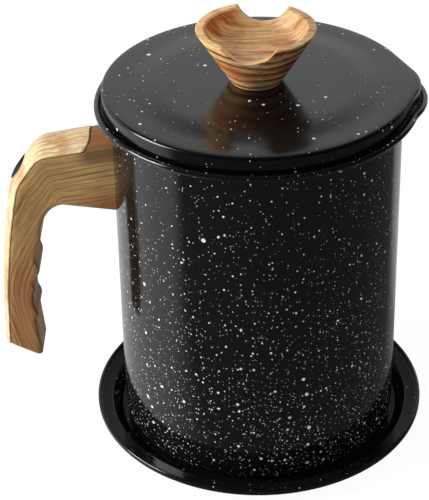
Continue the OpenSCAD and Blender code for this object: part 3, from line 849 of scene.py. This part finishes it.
def innerLine(s):
    first, second = handle["ovalTurn"]
    share = handle["ovalShare"]
    if s < armLength:
        return armFoot + (innerTop - armFoot) * (s / armLength)
    s -= armLength
    if s < slopeLength:
        return ovalLine(first * s / slopeLength)
    u = (s - slopeLength) / backLength
    if u < share:
        return ovalLine(first + second * u / share)
    return fingerLine(min(1.0, (u - share) / (1 - share)))


def crownHeight(s):
    high, lower, share, before = take(handle, "crown", "lowCrown", "ovalShare", "crownFrom")
    low = lower * high
    if s < armLength:
        start = high + 1.5 * handle["swell"]
        return start + (low - start) * (s + before) / (armLength + before)
    s -= armLength
    if s < slopeLength:
        return low + (high - low) * s / slopeLength
    u = (s - slopeLength) / backLength
    return high + (low - high) * max(0.0, min(1.0, (u - share) / (1 - share)))


# how deep a point of the plan is inside the cover, which has a round end near the pot
def insideCover(s, y):
    corner = handle["tongueCorner"]
    d = (s - tongueStart) * handle["planShare"]
    side = max(0.0, abs(y) - (halfWidth + handle["tongueOver"] - corner))
    return corner - hypot(side, max(0.0, corner - d))


# the printed streaks drift from the inner to the outer side down the grip
def streakDrift(s):
    return sum(shift * blendTo(s, low, high) for shift, low, high in handle["streakDrift"])


# steps of s, close together round the cover's end, at the bends and down the grip
def handleSteps(start):
    marks = [start]
    bend = armLength + slopeLength
    while marks[-1] < pathLength:
        s = marks[-1]
        step = 1.1
        if s < tongueStart + 1.2:
            step = 0.22
        elif s < tongueStart + 8:
            step = 0.45
        elif armLength - 5 < s < armLength + 5 or abs(s - bend) < 5:
            step = 0.6
        elif s > bend + 12:
            step = 0.8
        marks.append(s + step)
    marks[-1] = pathLength
    return marks


# one closed section of the grip below the seam, with its texture line
def gripSection(s, inset=0.0, lower=0.0):
    out, inner, way = softSeam(s) + endDown * lower, innerLine(s) + endDown * lower, seamOut(s)
    long = (inner - out).length
    down = (inner - out) / long
    crown, soft, r = crownHeight(s), handle["bareEdge"], handle["round"]
    h = halfWidth - inset
    deep = long - inset
    points, lines = [], []

    def put(y, p, v):
        points.append((-p.x, y, p.y))
        lines.append((s, v + streakDrift(s)))

    covered = blendTo(insideCover(s, halfWidth - 0.6), -0.2, 0.3)
    drop = soft + (handle["seam"] - soft) * covered
    sideHeight = handle["edge"] - handle["step"]
    rise = sideHeight * (1 - covered)  # the bare arm's side goes above the seam's line
    farSide = -1.0 - 2 * h  # the texture's place across on the far side
    for k in range(5):  # near upper edge, from the side up
        a = pi / 2 * k / 4
        put(-(h - soft + soft * cos(a)), out + way * (rise - drop + drop * sin(a)),
            drop * (1 - sin(a)) - rise)
    tops = 40
    for k in range(1, tops):
        y = (h - soft) * (2 * k / tops - 1)
        inside = insideCover(s, y)
        high = sideHeight + crown * (1 - (y / halfWidth) ** 2)
        high -= handle["seamDepth"] * (1 - min(1.0, abs(inside) / handle["seamDepth"]))
        high -= (high + handle["tuck"]) * blendTo(inside, 0.3, 0.9)
        put(y, out + way * (high - inset), -1.0 - (y + h))
    for k in range(5):  # far upper edge
        a = pi / 2 * (1 - k / 4)
        put(h - soft + soft * cos(a), out + way * (rise - drop + drop * sin(a)),
            farSide - drop * (1 - sin(a)))
    for k in range(1, 9):
        d = soft + (deep - r - soft) * k / 8
        put(h, out + down * d, farSide - d)
    for k in range(1, 7):
        a = pi / 2 * k / 6
        put(h - r + r * cos(a), out + down * (deep - r + r * sin(a)), farSide - long + r - r * a)
    for k in range(1, 6):  # inner face
        y = (h - r) * (1 - 2 * k / 6)
        put(y, out + down * deep, long + (y + h - r))
    for k in range(6):
        a = pi / 2 * (1 - k / 6)
        put(-(h - r + r * cos(a)), out + down * (deep - r + r * sin(a)), long - r + r * a)
    for k in range(8, 0, -1):
        d = soft + (deep - r - soft) * k / 8
        put(-h, out + down * d, d)
    return points, lines


# one closed section of the cover above the seam, with its texture line
def coverSection(s, inset=0.0, lower=0.0):
    out, way = softSeam(s) + endDown * lower, seamOut(s)
    d = (s - tongueStart) * handle["planShare"]
    corner, soft, crown = handle["tongueCorner"], handle["coverEdge"], crownHeight(s)
    wide = halfWidth + handle["tongueOver"] - corner + sqrt(
        max(0.0, corner ** 2 - max(0.0, corner - d) ** 2))
    h = min(halfWidth, wide) - inset
    footIn, footUp = handle["coverFoot"]
    riseIn, riseUp = handle["coverRise"]
    points, lines = [], []

    def put(y, high, v):
        p = out + way * high
        points.append((-p.x, y, p.y))
        lines.append((s, v))

    def topAt(y):
        depth = min(h - abs(y), insideCover(s, y)) if d < corner + 1 else h - abs(y)
        drop = soft - sqrt(max(0.0, soft ** 2 - max(0.0, soft - depth) ** 2))
        return handle["edge"] + crown * (1 - (y / halfWidth) ** 2) - drop - inset

    put(footIn - h, footUp, -h)
    put(riseIn - h, riseUp, -h)
    margins = [0.0, 0.02, 0.07, 0.15, 0.27, 0.42, 0.6]
    across = [m - h for m in margins]
    across += [(h - margins[-1]) * (2 * k / 28 - 1) for k in range(1, 28)]
    across += [h - m for m in reversed(margins)]
    for y in across:
        put(y, topAt(y), y)
    put(h - riseIn, riseUp, h)
    put(h - footIn, footUp, h)
    for k in range(1, 8):
        put((h - footIn) * (1 - 2 * k / 8), footUp, h + k)
    return points, lines


# the first ring of the grip lies on the pot's wall
def wallSection():
    points, lines = gripSection(0.0)
    foot = pot["bottom"] + pot["corner"]
    ring = []
    for _, y, z in points:
        reach = pot["radius"] + handle["wallGap"] - potTaper * (z - foot) / (potWallTop - foot)
        ring.append((-sqrt(reach ** 2 - y * y), y, z))
    return ring, [(0.0, v) for _, v in lines]


# sections along the handle and round its lower end, wrapped into one closed piece
def loftHandle(name, section, start, first=None):
    sections = ([first] if first else []) + [section(s) for s in handleSteps(start)]
    soft = handle["endRound"]
    for k in range(1, 6):
        a = radians(18 * k)
        sections.append(section(pathLength, soft * (1 - cos(a)), soft * sin(a)))
    rings = [points for points, _ in sections]
    texture = [lines + lines[:1] for _, lines in sections]
    piece = wrapRings(name, rings, texture)
    closeAndSmooth(piece, handle["smooth"], fillEnds=True)
    return piece


def drill(piece, bores):
    for radius, start, end in bores:
        clearSelection()
        bpy.ops.mesh.primitive_cylinder_add(
            vertices=handle["boreSides"], radius=radius * mm, depth=(end - start) * mm,
            location=(-(start + end) / 2 * mm, 0, handle["screwZ"] * mm),
            rotation=(0, radians(90), 0))
        cutWith(piece, bpy.context.object)
    smoothBelow(piece, handle["smooth"])


def makeHandle():
    grip = loftHandle("gripBody", gripSection, handle["firstStep"], wallSection())
    cover = loftHandle("coverBody", coverSection, tongueStart + 0.001)
    drill(grip, handle["gripBores"])
    drill(cover, handle["coverBores"])
    dress(grip, gripFilm, "pot", "handle_grip")
    dress(cover, coverFilm, "pot", "grip_cover")


makeHandle()
print("handle made")


strainer = {
    "top": 53.2, "low": 51.2, "flange": 56.6, "seat": 143.4, "floor": 124.0, "ledge": 47.2,
    "sheet": 0.6, "edgeRound": 0.25, "outerRound": 1.2, "innerRound": 0.7, "flangeRound": 0.28,
    "ringGap": 0.4, "ringFit": 0.2, "ringRise": 3.0, "ringSheet": (0.6, 0.4), "ringRound": 0.2,
    "ringBend": 0.4, "steps": 200, "smooth": 45,
    "meshZ": 124.8, "meshRadius": 49.9, "meshEdge": 0.6, "pitch": 1.25, "wire": 0.34,
}


def spinSteel(name, corners, node):
    piece = spinOutline(name, roundedOutline(corners), strainer["steps"])
    closeAndSmooth(piece, strainer["smooth"])
    dress(piece, strainerSteel, "strainer", node)


def makeStrainer():
    t, seat, floor, ledge = take(strainer, "sheet", "seat", "floor", "ledge")
    top, low, flange, lip = take(strainer, "top", "low", "flange", "flangeRound")
    edge, outer, inner = take(strainer, "edgeRound", "outerRound", "innerRound")
    spinSteel("strainerCup", [
        (ledge, floor, 0), (low, floor, outer), (top, seat, inner), (flange, seat, lip),
        (flange, seat + t, lip), (top - t, seat + t, outer), (low - t, floor + t, inner),
        (ledge, floor + t, edge), (ledge, floor, 0)], "strainer_cup")
    z = floor + t + strainer["ringGap"]
    foot, (thick, thin) = low - t - strainer["ringFit"], strainer["ringSheet"]
    rise, small, bend = take(strainer, "ringRise", "ringRound", "ringBend")
    spinSteel("strainerRing", [
        (ledge, z + thick / 2, 0), (ledge, z, small), (foot, z, inner),
        (foot + thick - thin, z + rise, edge), (foot - thin, z + rise, edge),
        (foot - thick, z + thick, bend), (ledge, z + thick, small), (ledge, z + thick / 2, 0)],
        "strainer_ring")


def makeMesh():
    count = int(2 * strainer["meshRadius"] / strainer["pitch"])
    clearSelection()
    bpy.ops.mesh.primitive_grid_add(
        x_subdivisions=count, y_subdivisions=count, size=count * strainer["pitch"] * mm,
        location=(0, 0, strainer["meshZ"] * mm))
    mesh = nameNewest("strainerMesh")
    selectOnly(mesh)
    bpy.ops.object.transform_apply(location=True)
    setMode("EDIT")
    bpy.ops.mesh.select_all(action="DESELECT")
    setMode("OBJECT")
    for v in mesh.data.vertices:
        v.select = hypot(v.co.x, v.co.y) > (strainer["meshRadius"] - strainer["meshEdge"]) * mm
    setMode("EDIT")
    bpy.ops.mesh.select_mode(type="VERT")
    bpy.ops.mesh.delete(type="VERT")
    setMode("OBJECT")
    wires = mesh.modifiers.new("wires", "WIREFRAME")
    wires.thickness = strainer["wire"] * mm
    wires.use_even_offset = False
    wires.use_boundary = True
    bpy.ops.object.modifier_apply(modifier=wires.name)
    dress(mesh, strainerSteel, "strainer", "strainer_mesh")


makeStrainer()
makeMesh()
print("strainer made")


# the small metal parts keep their CAD shape
for node in ("handle_bracket", "handle_screw", "handle_washer", "knob_screw", "knob_washer",
             "knob_insert"):
    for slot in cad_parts[node].material_slots:
        slot.material = insertMetal if node == "knob_insert" else fastenerSteel
print("small metal parts finished")


# lengths here are in metres and angles in degrees
studio = {
    "floorSize": 12.0, "floorDrop": 0.0001, "floorColour": (0.86, 0.86, 0.86), "floorRough": 0.9,
    "floorGlow": 1.1, "glowShare": 0.87, "ambient": 0.34,
    # the gloss shows a bright wall behind, between two turns from the beak's side
    "backBright": 0.86, "backFrom": 37.0, "backTo": 188.0, "backSoft": 5.0,
    "backTop": (31.0, 38.0), "overBack": 0.16, "elsewhere": 0.02,
    # and a bright floor only behind two lines: slope, start and end of the change
    "floorLines": [(0.427, -0.062, -0.006), (1.0, -0.088, -0.034)], "floorDark": 0.10,
}
keyLamp = {"place": (-1.08, -0.16, 0.60), "size": (0.55, 0.5), "power": 15.5,
           "aim": (0, 0, 0.08)}
photoCamera = {
    "lens": 118.09, "sensor": 36, "place": (-0.00998, -0.55061, 0.43171),
    "ahead": (-0.01105, 0.83954, -0.54318), "right": (0.99980, 0.00008, -0.02022),
}
white = (1, 1, 1, 1)


def mixShaders(tree, share, first, second):
    return addNode(tree, "MixShader", {
        0: share, 1: first.outputs[0], 2: second.outputs[0]})


def makeFloor():
    clearSelection()
    bpy.ops.mesh.primitive_plane_add(size=studio["floorSize"],
                                     location=(0, 0, -studio["floorDrop"]))
    floor = nameNewest("paleFloor")
    material, tree, shader = newMaterial("paleFloor")
    shader.inputs["Base Color"].default_value = (*studio["floorColour"], 1)
    shader.inputs["Roughness"].default_value = studio["floorRough"]
    shader.inputs["Specular IOR Level"].default_value = 0.0
    path = addNode(tree, "LightPath")
    # seen by the camera the floor glows, so that it is white and keeps a soft shadow
    glow = addNode(tree, "Emission", {"Color": white, "Strength": studio["floorGlow"]})
    dark = addNode(tree, "Emission", {"Color": white, "Strength": studio["floorDark"]})
    seen = addProduct(tree, path.outputs["Is Camera Ray"], studio["glowShare"])
    soft = mixShaders(tree, seen, shader, glow)
    # in what the gloss shows, the studio's floor ends in the dark in front and to the right
    x, y, _ = addParts(tree, addNode(tree, "TexCoord").outputs["Object"])
    unseen = None
    for slope, start, end in studio["floorLines"]:
        off = addMath(tree, "SUBTRACT", y, addProduct(tree, x, slope))
        off = addRange(tree, off, start, end, 1.0, 0.0, "SMOOTHSTEP")
        unseen = off if unseen is None else addMath(tree, "MAXIMUM", unseen, off)
    unseen = addProduct(tree, unseen, path.outputs["Is Glossy Ray"])
    final = mixShaders(tree, unseen, soft, dark)
    tree.links.new(final.outputs[0], tree.nodes["Material Output"].inputs[0])
    floor.data.materials.append(material)


def makeWorld():
    world = bpy.data.worlds.new("studio")
    bpy.context.scene.world = world
    world.use_nodes = True
    tree = world.node_tree
    path = addNode(tree, "LightPath")
    x, y, z = addParts(tree, addNode(tree, "TexCoord").outputs["Generated"])
    start, end, edge = (radians(turn) for turn in take(studio, "backFrom", "backTo", "backSoft"))
    off = addMath(tree, "SUBTRACT", addMath(tree, "ARCTAN2", y, x), (start + end) / 2)
    wide = (end - start) / 2
    back = addRange(tree, addMath(tree, "COSINE", off), cos(wide + edge), cos(wide - edge),
                    0.0, 1.0)
    low, high = (sin(radians(height)) for height in studio["backTop"])
    fade = addRange(tree, z, low, high, studio["backBright"], studio["overBack"])
    bright = addMath(tree, "ADD", addProduct(tree, back, fade), studio["elsewhere"])
    ambient, shown, plain = (
        addNode(tree, "Background", {"Color": white, "Strength": strength})
        for strength in (studio["ambient"], bright, 1.0))
    lit = mixShaders(tree, path.outputs["Is Glossy Ray"], ambient, shown)
    seen = addMath(tree, "MAXIMUM", path.outputs["Is Camera Ray"],
                   path.outputs["Is Transmission Ray"])
    final = mixShaders(tree, seen, lit, plain)
    tree.links.new(final.outputs[0], tree.nodes["World Output"].inputs[0])


def makeLamp(name, look):
    data = bpy.data.lights.new(name, "AREA")
    data.shape = "RECTANGLE"
    data.size, data.size_y = look["size"]
    data.energy = look["power"]
    lamp = bpy.data.objects.new(name, data)
    bpy.context.scene.collection.objects.link(lamp)
    lamp.location = look["place"]
    aim = Vector(look["aim"]) - Vector(look["place"])
    lamp.rotation_euler = aim.to_track_quat("-Z", "Y").to_euler()


def makeCamera(name, look):
    data = bpy.data.cameras.new(name)
    camera = bpy.data.objects.new(name, data)
    bpy.context.scene.collection.objects.link(camera)
    data.sensor_width = look["sensor"]
    data.lens = look["lens"]
    camera.location = look["place"]
    ahead = Vector(look["ahead"]).normalized()
    right = Vector(look["right"])
    right = (right - ahead * right.dot(ahead)).normalized()
    turned = Matrix((right, right.cross(ahead), -ahead)).transposed()
    camera.rotation_mode = "QUATERNION"
    camera.rotation_quaternion = turned.to_quaternion()
    bpy.context.scene.camera = camera


makeFloor()
makeWorld()
makeLamp("keyLeft", keyLamp)
makeCamera("photoCamera", photoCamera)
bpy.context.scene.view_settings.view_transform = "Standard"
print("stage, light and camera made")
